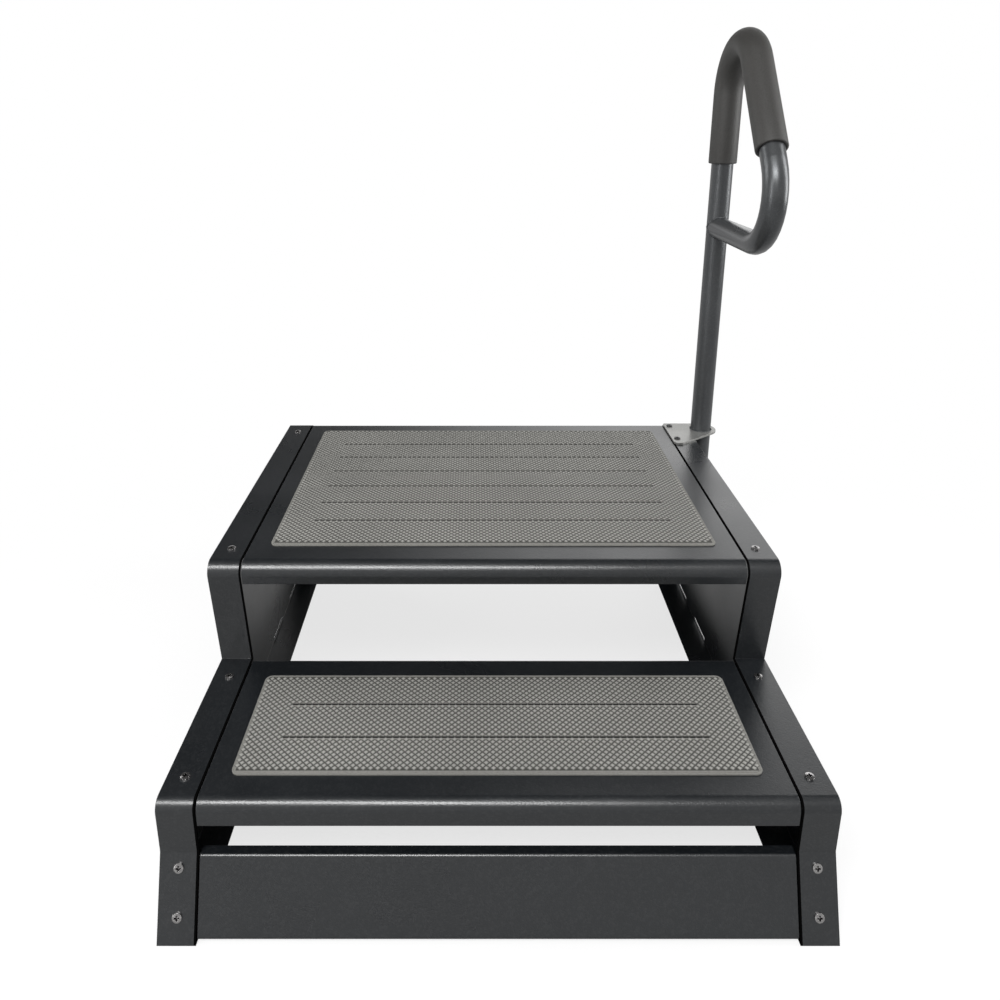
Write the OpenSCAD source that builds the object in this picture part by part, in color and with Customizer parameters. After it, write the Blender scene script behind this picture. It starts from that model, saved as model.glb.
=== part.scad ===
// Camper entry step: two folded steel treads between a pair of side panels,
// rubber mats on both treads, and a bent tube handrail with a foam grip at the
// right-hand side. The front faces -Y, the floor is z = 0, and the origin is
// the middle of the whole footprint, handrail bracket included.

/* [Body] */
// Width over the outer faces of the two side panels
body_w = 660; // [560:5:760]
// Depth from the foot of the toe to the rear edge
body_d = 690; // [660:5:760]
// Height of the platform above the floor
platform_h = 277; // [260:1:320]
// Height of the lower tread above the floor
tread_h = 137; // [125:1:150]

/* [Side profile] */
// Height of the leaning toe at the foot of the front
toe_h = 80; // [70:1:90]
// How far the toe's foot stands ahead of the lower front face
toe_lean = 33; // [15:1:45]
// Depth of the lower tread, from its front face to the foot of the riser
tread_d = 222.5; // [200:0.5:250]
// How far the platform's nose overhangs the foot of the riser
riser_lean = 23; // [5:1:35]
// Outside radius of the lower tread's nose
tread_nose_r = 12; // [6:1:16]
// Outside radius of the platform's nose
platform_nose_r = 15; // [6:1:18]
// Outside radius of the bend at the foot of the rear edge
heel_r = 15; // [6:1:20]
// Outside radius of the small bends, such as the rear top corner and the toe board's edges
small_r = 4; // [2:0.5:8]
// Outside radius of the bend where the toe starts to lean
kink_r = 8; // [4:1:16]

/* [Sheet] */
// Thickness of every folded steel sheet
sheet_t = 1.5; // [1.2:0.1:2]
// Width of the strip that each side panel turns inwards at the front and top
strip_w = 38; // [34:1:44]
// Width of the flange that the side panel stands on
base_flange_w = 36; // [28:1:38]
// Width of the side panel's rear flange
rear_flange_w = 32; // [24:1:36]
// Open seam between a side panel's strip and the sheet beside it
seam_gap = 1.2; // [0.6:0.2:2]
// Height of the platform's front apron
platform_apron_h = 26; // [24:1:36]
// Height of the lower tread's front apron
tread_apron_h = 26; // [24:1:36]
// Height of the aprons at the rear of both treads
rear_apron_h = 24; // [22:1:32]
// Outside radius of the bends at the rear of both treads
rear_bend_r = 6; // [3:1:14]
// Gap between the floor and the toe board
toe_board_clear = 2.5; // [2:0.5:6]
// Height of the toe board's upper edge
toe_board_top = 77; // [66:0.5:78]
// Depth of the lips along the toe board's upper and lower edges
toe_lip_d = 11; // [8:1:16]
// How far the lugs at a sheet's sides reach under the sheet itself
lug_lap = 5; // [4:1:8]
// Clearance between a lug and the side panel's plate
lug_side_gap = 3; // [1:0.5:6]
// Distance from a tread's front bend to its lugs
lug_front_gap = 8; // [4:1:15]
// How far the toe board's lugs end short of its upper and lower edges
toe_lug_inset = 7; // [5:1:10]

/* [Relief slots] */
// Number of slots along each side panel's lower fold
slot_count = 6; // [4:1:6]
// Length of one slot
slot_len = 62; // [40:1:70]
// Distance from the outermost slots to the panel's front and rear
slot_end_gap = 34; // [28:1:60]
// Height of one slot
slot_h = 4; // [3:0.5:6]
// Diameter of the relief hole at the rear end of the fold
relief_d = 4; // [3:0.5:6]

/* [Stiffeners] */
// Depth of the hat channels under the treads
hat_h = 20; // [12:1:20]
// Width of a channel's closed side
hat_w = 24; // [16:1:40]
// Width of each of a channel's welded wings
hat_wing_w = 12; // [8:1:16]
// How far the channels end short of the tread's sides
hat_end_gap = 12; // [6:1:30]
// Outside radius of a channel's bends
hat_bend_r = 3; // [2:0.5:4]

/* [Mats] */
// Thickness of the rubber mats at their flat top, without the fine studs
mat_t = 2.2; // [1.8:0.1:4]
// Bare sheet between a mat and the seam at its side
mat_side_margin = 25; // [15:1:40]
// Bare sheet between the platform's nose and its mat
platform_mat_front = 46; // [40:1:60]
// Bare sheet between the platform's mat and its rear edge
platform_mat_rear = 32; // [25:1:50]
// Bare sheet between the lower tread's front face and its mat
tread_mat_front = 36; // [30:1:45]
// Bare sheet between the lower tread's mat and its rear edge
tread_mat_rear = 33.5; // [30:0.5:45]
// Radius of the mats' corners in plan
mat_corner_r = 8; // [4:1:14]
// Distance between the grooves across a mat
groove_pitch = 51; // [40:1:60]
// Width of a groove
groove_w = 2.4; // [1.6:0.2:4]
// Depth of a groove
groove_depth = 1.2; // [0.8:0.1:1.4]
// Distance from a groove's end to the mat's edge
groove_margin = 40; // [20:1:60]
// Width of the low rim around a mat
rim_w = 2.5; // [1.5:0.5:5]
// Step down from the mat's top to its rim
rim_drop = 0.7; // [0.3:0.1:1]

/* [Handrail] */
// Outer diameter of the handrail tube
tube_d = 32; // [28:1:35]
// Wall of the handrail tube
tube_wall = 1.5; // [1.2:0.1:2.5]
// Gap between the tube and the side panel, which the spacers fill
post_gap = 3; // [2:0.5:5]
// Distance from the rear edge to the post's centre line
post_inset = 26; // [25:1:45]
// Height of the post's lower end
post_foot_h = 40; // [25:1:60]
// Height of the tube's centre line at the top of the loop
loop_top_h = 866.5; // [820:0.5:950]
// Height of the centre line of the loop's lower return
loop_low_h = 609; // [590:1:640]
// How far the loop's centre line reaches ahead of the post's
loop_reach = 232; // [200:1:260]
// Centre-line radius of the tube's bends
bend_r = 65; // [55:1:80]

/* [Grip] */
// Outer diameter of the foam grip
grip_d = 41; // [39:0.5:48]
// Clearance between the grip and the tube
grip_fit = 0.3; // [0.1:0.1:0.6]
// Length of grip on the straight post below the loop's top bend
grip_post_len = 98; // [60:1:140]
// Bare tube between the grip's front end and the loop's lower bend
grip_front_gap = 20; // [10:1:40]
// Rounding of the grip's ends
grip_end_r = 2; // [1:0.5:3]

/* [Post bracket] */
// Thickness of the plate that ties the post to the platform's level
bracket_t = 3; // [2:0.5:5]
// Length of the plate along the platform's side
bracket_len = 87; // [80:1:110]
// Radius of the plate's end around the post
bracket_end_r = 24; // [22:0.5:25]
// Width of the plate's blunt front end
bracket_front_w = 13; // [12:1:20]
// Radius of the plate's front corners
bracket_corner_r = 7; // [3:1:8]
// Clearance between the plate's hole and the post
bracket_fit = 0.2; // [0.1:0.1:0.5]
// Height of the rim of the plug in the post's lower end
plug_rim_h = 3; // [2:0.5:5]
// Depth of the plug inside the tube
plug_depth = 14; // [8:1:16]
// Clearance between the plug and the tube's bore
plug_fit = 0.1; // [0.05:0.05:0.3]
// Distance from the plate's rear edge to the rear bolt
bracket_bolt_rear = 12.5; // [10:0.5:20]
// Distance between the plate's two bolts
bracket_bolt_pitch = 56; // [45:1:60]
// Distance from the plate's inner edge to its bolts
bracket_bolt_inset = 8.5; // [7.5:0.5:14]
// Distance between the two bolts that hold the post to the side panel
post_bolt_pitch = 120; // [80:5:150]
// Distance from the post's lower end to its lower bolt
post_bolt_low = 30; // [22:1:40]

/* [Fasteners] */
// Thread diameter of the cross-head screws
screw_d = 5; // [4:0.5:6]
// Diameter of the screws' heads
screw_head_d = 9.5; // [8:0.5:11]
// Height of the screws' heads
screw_head_h = 2.4; // [1.8:0.1:3.5]
// Length of the screws below the head
screw_len = 12; // [10:1:18]
// Thread diameter of the two bolts through the post
post_bolt_d = 8; // [6:1:8]
// Width across the flats of the post bolts' heads and nuts
post_bolt_flats = 13; // [11:1:14]
// Height of the post bolts' heads
post_bolt_head_h = 5.3; // [4:0.1:6]
// Oversize of every hole over the fastener in it
hole_play = 0.6; // [0.4:0.1:1]
// Oversize of a nut's bore over the thread in it
nut_play = 0.1; // [0.05:0.05:0.2]
// Distance from the platform's nose to its front screws
nose_screw_inset = 40; // [34:1:50]
// Distance from the other tread screws to the end of the sheet that they hold
screw_end_inset = 34; // [30:1:40]
// Height of the toe board's lower screws
toe_screw_low = 24; // [20:1:30]
// Height of the toe board's upper screws
toe_screw_high = 66; // [55:1:67]

/* [Hidden] */

$fn = 64;
bend_steps = 12;
tube_sides = 32;
// Overlap of two bodies that are one piece, and how far a cutting body runs past the face it cuts.
eps = 0.01;
over = 1;

powder_coat = [0.13, 0.14, 0.15];
mat_grey = [0.52, 0.51, 0.48];
tube_grey = [0.24, 0.25, 0.26];
foam_grey = [0.2, 0.2, 0.19];
bright_steel = [0.75, 0.75, 0.76];
black_steel = [0.1, 0.1, 0.1];
nylon_black = [0.06, 0.06, 0.06];

// Main planes. Depths run from the front (-Y) to the rear (+Y).
half_w = body_w / 2;
toe_y = -body_d / 2;
front_y = toe_y + toe_lean;
riser_y = front_y + tread_d;
nose_y = riser_y - riser_lean;
rear_y = body_d / 2;
seam_x = half_w - strip_w;
sheet_x = seam_x - seam_gap;

// The handrail's post stands beside the right-hand panel.
tube_r = tube_d / 2;
post_x = half_w + post_gap + tube_r;
post_y = rear_y - post_inset;
bracket_x = seam_x;
bracket_rear_y = post_y + bracket_end_r;
centre_shift = (post_x + bracket_end_r - half_w) / 2;

// Screws run down the middle of the strips.
screw_x = half_w - strip_w / 2;
platform_screw_ys = [nose_y + nose_screw_inset, rear_y - screw_end_inset];
tread_screw_ys = [front_y + screw_end_inset, riser_y - screw_end_inset];
toe_screw_hs = [toe_screw_low, toe_screw_high];
bracket_bolt_x = bracket_x + bracket_bolt_inset;
bracket_bolt_ys = [
    bracket_rear_y - bracket_bolt_rear - bracket_bolt_pitch,
    bracket_rear_y - bracket_bolt_rear
];
post_bolt_hs = [post_foot_h + post_bolt_low, post_foot_h + post_bolt_low + post_bolt_pitch];
nut_flats = 1.6 * screw_d;
nut_h = 0.8 * screw_d;
post_nut_h = 0.8 * post_bolt_d;

post_spacer_d = 2.2 * post_bolt_d;
// Thread of a post bolt that shows beyond its nut.
post_bolt_tail = 4;

// Lugs of the treads and the toe board, which lie under the strips.
lug_out_x = half_w - sheet_t - lug_side_gap;
lug_in_x = sheet_x - lug_lap;
lug_rear_gap = 1;

// The base flange is set back a little behind the toe.
base_flange_start_y = toe_y + 10;
slot_z = 2 * sheet_t + slot_h / 2;
slot_pitch = (body_d - 2 * slot_end_gap - slot_len) / (slot_count - 1);

// Corners of the side panel in the Y-Z plane, clockwise from the toe's foot.
panel_corners = [
    [toe_y, 0],
    [front_y, toe_h],
    [front_y, tread_h],
    [riser_y, tread_h],
    [nose_y, platform_h],
    [rear_y, platform_h],
    [rear_y, 0]
];
panel_radii = [0, kink_r, tread_nose_r, 0, platform_nose_r, small_r, heel_r];

// Plane geometry for folded sheet. A path runs clockwise round its material.
function unit(v) = v / norm(v);
function inward(v) = [v[1], -v[0]];
function corner_shift(a, p, b, t) =
    let (m = inward(unit(p - a)), n = inward(unit(b - p)))
    p + t * (m + n) / (1 + m * n);
function is_convex(a, p, b) = cross(p - a, b - p) < 0;
function inner_radius(a, p, b, r, t) = is_convex(a, p, b) ? max(r - t, 0) : r + t;
function arc_between(c, r, from, to) =
    let (turn = to - from, sweep = turn > 180 ? turn - 360 : turn < -180 ? turn + 360 : turn)
    [for (i = [0 : bend_steps]) c + r * [cos(from + sweep * i / bend_steps), sin(from + sweep * i / bend_steps)]];
function rounded_corner(a, p, b, r) =
    r <= 0 ? [p] :
    let (
        u = unit(a - p),
        v = unit(b - p),
        half = acos(u * v) / 2,
        c = p + unit(u + v) * r / sin(half),
        s = p + u * r / tan(half) - c,
        e = p + v * r / tan(half) - c
    )
    arc_between(c, r, atan2(s[1], s[0]), atan2(e[1], e[0]));
function reversed(list) = [for (i = [len(list) - 1 : -1 : 0]) list[i]];

// A closed outline: each corner rounded by its radius.
function rounded_loop(points, radii) =
    let (n = len(points))
    [for (i = [0 : n - 1]) each rounded_corner(points[(i + n - 1) % n], points[i], points[(i + 1) % n], radii[i])];
function inset_loop(points, t) =
    let (n = len(points))
    [for (i = [0 : n - 1]) corner_shift(points[(i + n - 1) % n], points[i], points[(i + 1) % n], t)];
function inset_radii(points, radii, t) =
    let (n = len(points))
    [for (i = [0 : n - 1]) inner_radius(points[(i + n - 1) % n], points[i], points[(i + 1) % n], radii[i], t)];

// An open strip of sheet: the outer face follows the path, the sheet lies inside it.
function open_round(points, radii) =
    let (n = len(points))
    [
        points[0],
        for (i = [1 : n - 2]) each rounded_corner(points[i - 1], points[i], points[i + 1], radii[i - 1]),
        points[n - 1]
    ];
function open_inset(points, t) =
    let (n = len(points))
    [
        points[0] + t * inward(unit(points[1] - points[0])),
        for (i = [1 : n - 2]) corner_shift(points[i - 1], points[i], points[i + 1], t),
        points[n - 1] + t * inward(unit(points[n - 1] - points[n - 2]))
    ];
function open_radii(points, radii, t) =
    [for (i = [1 : len(points) - 2]) inner_radius(points[i - 1], points[i], points[i + 1], radii[i - 1], t)];
function sheet_outline(points, radii) =
    concat(
        open_round(points, radii),
        reversed(open_round(open_inset(points, sheet_t), open_radii(points, radii, sheet_t)))
    );
function layer(points, from, to) = concat(open_inset(points, from), reversed(open_inset(points, to)));

// Point of the riser's and the toe's outer faces at height h.
function riser_at(h) = [riser_y - riser_lean * (h - tread_h) / (platform_h - tread_h), h];
function toe_at(h) = [toe_y + toe_lean * h / toe_h, h];
toe_tilt = atan2(toe_lean, toe_h);

// Moves the drawing so that the footprint's middle lies at the origin.
module placed() {
    translate([-centre_shift, 0, 0]) children();
}

// Extrudes an outline drawn in Y-Z along +X, from x for a length of w.
module across(x, w) {
    translate([x, 0, 0]) rotate([90, 0, 90]) linear_extrude(w) children();
}

module both_sides() {
    children();
    mirror([1, 0, 0]) children();
}

// Puts children on the leaning toe's face at height h, with +Z along its outward normal.
module on_toe(h) {
    translate([0, toe_at(h)[0], h]) rotate([90 - toe_tilt, 0, 0]) children();
}

// Radius of the dome that is h high at its middle and reaches a circle of diameter d at half of h.
function dome_r(d, h) = (d * d / 4 + h * h / 4) / h;

// Fasteners. Each stands at its seat with its head or nut on the +Z side.
module cross_screw(d, head_d, head_h, length) {
    edge_h = 0.4 * head_h;
    dome_h = head_h - edge_h;
    recess_l = 0.54 * head_d;
    recess_w = 0.18 * head_d;
    recess_z = 0.35 * head_h;
    difference() {
        union() {
            translate([0, 0, -length]) cylinder(h = length + eps, d = d);
            cylinder(h = edge_h, d = head_d);
            translate([0, 0, edge_h]) intersection() {
                cylinder(h = dome_h, d = head_d);
                translate([0, 0, dome_h - dome_r(head_d, dome_h)]) sphere(r = dome_r(head_d, dome_h));
            }
        }
        for (turn = [0, 90])
            rotate([0, 0, turn])
                translate([-recess_l / 2, -recess_w / 2, recess_z]) cube([recess_l, recess_w, head_h]);
    }
}

module hex_nut(flats, h, bore) {
    translate([0, 0, -h]) difference() {
        cylinder(h = h, d = flats / cos(30), $fn = 6);
        translate([0, 0, -over]) cylinder(h = h + 2 * over, d = bore);
    }
}

module hex_bolt(d, flats, head_h, length) {
    translate([0, 0, -length]) cylinder(h = length + eps, d = d);
    cylinder(h = head_h, d = flats / cos(30), $fn = 6);
}

module screw() {
    cross_screw(screw_d, screw_head_d, screw_head_h, screw_len);
}
module screw_nut() {
    hex_nut(nut_flats, nut_h, screw_d + 2 * nut_play);
}
module screw_hole() {
    cylinder(h = 2 * screw_len, d = screw_d + hole_play, center = true);
}

// Places of the fasteners on the right-hand side.
module at_platform_screws(which) {
    for (i = which) translate([screw_x, platform_screw_ys[i], platform_h]) children();
}
module at_tread_screws() {
    for (y = tread_screw_ys) translate([screw_x, y, tread_h]) children();
}
module at_toe_screws() {
    for (h = toe_screw_hs) translate([screw_x, 0, 0]) on_toe(h) children();
}
module at_bracket_bolts() {
    for (y = bracket_bolt_ys) translate([bracket_bolt_x, y, platform_h]) children();
}
module at_post_bolts(x) {
    for (h = post_bolt_hs) translate([x, post_y, h]) rotate([0, 90, 0]) children();
}

// Side panels: a plate with a strip turned inwards all round its edge.
module panel_pan() {
    inner = inset_loop(panel_corners, sheet_t);
    inner_radii = inset_radii(panel_corners, panel_radii, sheet_t);
    across(half_w - sheet_t, sheet_t) polygon(rounded_loop(panel_corners, panel_radii));
    across(seam_x, strip_w - eps) difference() {
        polygon(rounded_loop(panel_corners, panel_radii));
        polygon(rounded_loop(inner, inner_radii));
    }
}

module relief_slots() {
    for (i = [0 : slot_count - 1])
        translate([half_w - sheet_t - over, (i - (slot_count - 1) / 2) * slot_pitch, slot_z])
            rotate([90, 0, 90]) linear_extrude(sheet_t + 2 * over) {
                square([slot_len - slot_h, slot_h], center = true);
                for (end = [-1, 1]) translate([end * (slot_len - slot_h) / 2, 0]) circle(d = slot_h);
            }
    translate([half_w - sheet_t - over, rear_y - heel_r - relief_d / 2, slot_z])
        rotate([0, 90, 0]) cylinder(h = sheet_t + 2 * over, d = relief_d);
}

// The base and rear flanges are narrower than the strips.
module panel_flange_trim() {
    rear_top = platform_h - sheet_t - small_r - over;
    translate([seam_x - over, base_flange_start_y, -over])
        cube([strip_w - base_flange_w + over, body_d, heel_r + over]);
    translate([seam_x - over, rear_y - heel_r, -over])
        cube([strip_w - rear_flange_w + over, body_d, rear_top + over]);
}

module right_panel_blank() {
    difference() {
        panel_pan();
        panel_flange_trim();
        relief_slots();
        at_platform_screws([0]) screw_hole();
        at_tread_screws() screw_hole();
        at_toe_screws() screw_hole();
    }
}

module side_panel_left() {
    color(powder_coat) placed() mirror([1, 0, 0]) difference() {
        right_panel_blank();
        at_platform_screws([1]) screw_hole();
    }
}

module side_panel_right() {
    color(powder_coat) placed() difference() {
        right_panel_blank();
        at_bracket_bolts() screw_hole();
        at_post_bolts(half_w) cylinder(h = 4 * sheet_t, d = post_bolt_d + hole_play, center = true);
    }
}

// Treads: one bent sheet each, with a joggled lug under the strip at either side.
module tread_sheet(path, radii) {
    across(-sheet_x, 2 * sheet_x) polygon(sheet_outline(path, radii));
}

module tread_lugs(y_front, y_rear, h) {
    run = y_rear - y_front;
    both_sides() translate([lug_in_x, y_front, h - 2 * sheet_t]) {
        cube([lug_out_x - lug_in_x, run, sheet_t]);
        cube([lug_lap, run, sheet_t + eps]);
    }
}

module upper_platform() {
    path = [
        riser_at(platform_h - platform_apron_h),
        [nose_y, platform_h],
        [rear_y, platform_h],
        [rear_y, platform_h - rear_apron_h]
    ];
    color(powder_coat) placed() difference() {
        union() {
            tread_sheet(path, [platform_nose_r, rear_bend_r]);
            tread_lugs(nose_y + platform_nose_r + lug_front_gap, rear_y - rear_bend_r - lug_rear_gap, platform_h);
        }
        both_sides() at_platform_screws([0]) screw_hole();
        mirror([1, 0, 0]) at_platform_screws([1]) screw_hole();
        at_bracket_bolts() screw_hole();
    }
}

module lower_tread() {
    path = [
        [front_y, tread_h - tread_apron_h],
        [front_y, tread_h],
        [riser_y, tread_h],
        [riser_y, tread_h - rear_apron_h]
    ];
    color(powder_coat) placed() difference() {
        union() {
            tread_sheet(path, [tread_nose_r, rear_bend_r]);
            tread_lugs(front_y + tread_nose_r + lug_front_gap, riser_y - rear_bend_r - lug_rear_gap, tread_h);
        }
        both_sides() at_tread_screws() screw_hole();
    }
}

module toe_board() {
    path = [
        toe_at(toe_board_clear) + [toe_lip_d, 0],
        toe_at(toe_board_clear),
        toe_at(toe_board_top),
        toe_at(toe_board_top) + [toe_lip_d, 0]
    ];
    lug_path = [toe_at(toe_board_clear + toe_lug_inset), toe_at(toe_board_top - toe_lug_inset)];
    color(powder_coat) placed() difference() {
        union() {
            tread_sheet(path, [small_r, small_r]);
            both_sides() {
                across(lug_in_x, lug_out_x - lug_in_x) polygon(layer(lug_path, sheet_t, 2 * sheet_t));
                across(lug_in_x, lug_lap) polygon(layer(lug_path, sheet_t - eps, 2 * sheet_t));
            }
        }
        both_sides() at_toe_screws() screw_hole();
    }
}

// A hat channel along X, open upwards, with its wings welded at height h.
module hat_channel(y, h) {
    half = hat_w / 2;
    path = [
        [y - half - hat_wing_w, h],
        [y - half, h],
        [y - half, h - hat_h],
        [y + half, h - hat_h],
        [y + half, h],
        [y + half + hat_wing_w, h]
    ];
    across(-sheet_x + hat_end_gap, 2 * (sheet_x - hat_end_gap))
        polygon(sheet_outline(path, [0, hat_bend_r, hat_bend_r, 0]));
}

module platform_stiffeners() {
    run = rear_y - nose_y;
    color(powder_coat) placed()
        for (part = [1, 2]) hat_channel(nose_y + run * part / 3, platform_h - sheet_t);
}

module tread_stiffener() {
    color(powder_coat) placed()
        hat_channel((front_y + riser_y) / 2, tread_h - sheet_t);
}

// Mats: a rubber sheet with a low rim and grooves across it.
module mat(y_front, y_rear, h) {
    depth = y_rear - y_front;
    width = 2 * (seam_x - mat_side_margin);
    grooves = round(depth / groove_pitch) - 1;
    translate([0, (y_front + y_rear) / 2, h]) difference() {
        union() {
            mat_slab(width, depth, mat_corner_r, mat_t - rim_drop);
            mat_slab(width - 2 * rim_w, depth - 2 * rim_w, mat_corner_r - rim_w, mat_t);
        }
        for (i = [0 : grooves - 1])
            translate([0, (i - (grooves - 1) / 2) * groove_pitch, mat_t - groove_depth])
                groove(width - 2 * groove_margin);
    }
}

module mat_slab(w, d, r, t) {
    linear_extrude(t) polygon(rounded_loop(
        [[-w / 2, -d / 2], [-w / 2, d / 2], [w / 2, d / 2], [w / 2, -d / 2]],
        [r, r, r, r]
    ));
}

module groove(length) {
    translate([-length / 2, -groove_w / 2, 0]) cube([length, groove_w, mat_t]);
    for (end = [-1, 1]) translate([end * length / 2, 0, 0]) cylinder(h = mat_t, d = groove_w, $fn = 24);
}

module upper_mat() {
    color(mat_grey) placed()
        mat(nose_y + platform_mat_front, rear_y - platform_mat_rear, platform_h);
}

module lower_mat() {
    color(mat_grey) placed()
        mat(front_y + tread_mat_front, riser_y - tread_mat_rear, tread_h);
}

// The loop's centre line, in a plane where x runs forwards from the post and y upwards.
top_c = [bend_r, loop_top_h - bend_r];
low_c = [loop_reach - bend_r, loop_low_h + bend_r];
leg_run = low_c - top_c;
leg_len = norm(leg_run);
leg_dir = atan2(leg_run[1], leg_run[0]);
leg_normal = leg_dir + 90;
leg_start = top_c + bend_r * along(leg_normal);

function along(a) = [cos(a), sin(a)];

// A station of a swept tube is [x, y, direction, outer radius].
function station(p, a, r) = [p[0], p[1], a, r];
function bend_stations(c, from, to, r) =
    [for (i = [0 : bend_steps]) let (a = from + (to - from) * i / bend_steps) station(c + bend_r * along(a), a - 90, r)];
function ring_of(s, r) =
    [for (k = [0 : tube_sides - 1]) let (t = 360 * k / tube_sides)
        [s[0] - r * cos(t) * sin(s[2]), s[1] + r * cos(t) * cos(s[2]), r * sin(t)]];
function side_faces(first, count) =
    [for (i = [0 : count - 2], k = [0 : tube_sides - 1])
        let (a = first + i * tube_sides, b = a + tube_sides, next = (k + 1) % tube_sides)
        [a + k, b + k, b + next, a + next]];
function cap_faces(outer, inner) =
    [for (k = [0 : tube_sides - 1]) let (next = (k + 1) % tube_sides)
        [outer + k, outer + next, inner + next, inner + k]];
function turned(faces) = [for (f = faces) reversed(f)];

// A tube wall along the stations, with a bore of one radius.
module swept_tube(stations, bore_r) {
    n = len(stations);
    last = (n - 1) * tube_sides;
    bore = n * tube_sides;
    polyhedron(
        points = concat(
            [for (s = stations) each ring_of(s, s[3])],
            [for (s = stations) each ring_of(s, bore_r)]
        ),
        faces = concat(
            side_faces(0, n),
            turned(side_faces(bore, n)),
            cap_faces(0, bore),
            turned(cap_faces(last, bore + last))
        )
    );
}

module in_loop_plane() {
    translate([post_x, post_y, 0]) rotate([90, 0, -90]) children();
}

module handrail_tube() {
    bore_r = tube_r - tube_wall;
    post_and_leg = concat(
        [station([0, post_foot_h], 90, tube_r)],
        bend_stations(top_c, 180, leg_normal, tube_r),
        [station(leg_start + leg_len * along(leg_dir), leg_dir, tube_r)]
    );
    hook_r = tube_r - eps;
    hook = concat(
        [station(leg_start + (leg_len - over) * along(leg_dir), leg_dir, hook_r)],
        bend_stations(low_c, leg_normal, -90, hook_r),
        [station([0, loop_low_h], -180, hook_r)]
    );
    color(tube_grey) placed() difference() {
        in_loop_plane() {
            swept_tube(post_and_leg, bore_r);
            // The lower return is cut to the post's round and welded on inside its wall.
            difference() {
                swept_tube(hook, bore_r + eps);
                translate([0, loop_low_h - tube_d, 0]) rotate([-90, 0, 0])
                    cylinder(h = 2 * tube_d, r = tube_r - tube_wall / 2);
            }
        }
        at_post_bolts(post_x) cylinder(h = tube_d + 2 * over, d = post_bolt_d + hole_play, center = true);
    }
}

// The foam sleeve over the post's top, the upper bend and most of the front leg.
function grip_end_stations(p, a, into) =
    [for (t = [0, 30, 60, 90])
        station(p + grip_end_r * (1 - cos(t)) * along(into), a, grip_d / 2 - grip_end_r * (1 - sin(t)))];

module foam_grip() {
    foot = [0, top_c[1] - grip_post_len];
    tip = leg_start + (leg_len - grip_front_gap) * along(leg_dir);
    color(foam_grey) placed() in_loop_plane() swept_tube(
        concat(
            grip_end_stations(foot, 90, 90),
            bend_stations(top_c, 180, leg_normal, grip_d / 2),
            reversed(grip_end_stations(tip, leg_dir, leg_dir + 180))
        ),
        tube_r + grip_fit
    );
}

// The plate that ties the post to the platform: it lies on the right-hand strip.
module post_bracket() {
    front = [bracket_x + bracket_front_w, bracket_rear_y - bracket_len];
    to_post = [post_x, post_y] - front;
    edge_dir = atan2(to_post[1], to_post[0]) - asin(bracket_end_r / norm(to_post));
    outline = rounded_loop(
        [
            [bracket_x, bracket_rear_y - bracket_len],
            [bracket_x, bracket_rear_y],
            [post_x, bracket_rear_y],
            [post_x, post_y] + bracket_end_r * along(edge_dir - 90),
            front
        ],
        [bracket_corner_r, small_r, 0, 0, bracket_corner_r]
    );
    color(tube_grey) placed() translate([0, 0, platform_h]) difference() {
        union() {
            linear_extrude(bracket_t) polygon(outline);
            translate([post_x, post_y, 0]) cylinder(h = bracket_t, r = bracket_end_r);
        }
        translate([post_x, post_y, -over]) cylinder(h = bracket_t + 2 * over, r = tube_r + bracket_fit);
        translate([0, 0, -platform_h]) at_bracket_bolts() screw_hole();
    }
}

module post_end_plug() {
    color(nylon_black) placed() translate([post_x, post_y, post_foot_h]) {
        translate([0, 0, -plug_rim_h]) cylinder(h = plug_rim_h, r = tube_r);
        translate([0, 0, -eps]) cylinder(h = plug_depth, r = tube_r - tube_wall - plug_fit);
    }
}

module post_spacers() {
    color(nylon_black) placed() at_post_bolts(half_w) difference() {
        cylinder(h = post_gap, d = post_spacer_d);
        translate([0, 0, -over]) cylinder(h = post_gap + 2 * over, d = post_bolt_d + hole_play);
    }
}

// Screws and nuts.
module platform_screws() {
    color(bright_steel) placed() {
        both_sides() at_platform_screws([0]) screw();
        mirror([1, 0, 0]) at_platform_screws([1]) screw();
    }
}
module platform_nuts() {
    color(bright_steel) placed() translate([0, 0, -2 * sheet_t]) {
        both_sides() at_platform_screws([0]) screw_nut();
        mirror([1, 0, 0]) at_platform_screws([1]) screw_nut();
    }
}
module tread_screws() {
    color(bright_steel) placed() both_sides() at_tread_screws() screw();
}
module tread_nuts() {
    color(bright_steel) placed() both_sides() at_tread_screws() translate([0, 0, -2 * sheet_t]) screw_nut();
}
module toe_screws() {
    color(bright_steel) placed() both_sides() at_toe_screws() screw();
}
module toe_nuts() {
    color(bright_steel) placed() both_sides() at_toe_screws() translate([0, 0, -2 * sheet_t]) screw_nut();
}
module bracket_bolts() {
    color(black_steel) placed() at_bracket_bolts() translate([0, 0, bracket_t])
        cross_screw(screw_d, screw_head_d, screw_head_h, screw_len + bracket_t);
}
module bracket_nuts() {
    color(bright_steel) placed() at_bracket_bolts() translate([0, 0, -2 * sheet_t]) screw_nut();
}
module post_bolts() {
    bolt_len = tube_d + post_gap + sheet_t + post_nut_h + post_bolt_tail;
    color(bright_steel) placed() at_post_bolts(post_x + tube_r)
        hex_bolt(post_bolt_d, post_bolt_flats, post_bolt_head_h, bolt_len);
}
module post_nuts() {
    color(bright_steel) placed() at_post_bolts(half_w - sheet_t)
        hex_nut(post_bolt_flats, post_nut_h, post_bolt_d + 2 * nut_play);
}

side_panel_left();
side_panel_right();
upper_platform();
lower_tread();
toe_board();
platform_stiffeners();
tread_stiffener();
upper_mat();
lower_mat();
handrail_tube();
foam_grip();
post_bracket();
post_end_plug();
post_spacers();
platform_screws();
platform_nuts();
tread_screws();
tread_nuts();
toe_screws();
toe_nuts();
bracket_bolts();
bracket_nuts();
post_bolts();
post_nuts();
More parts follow.
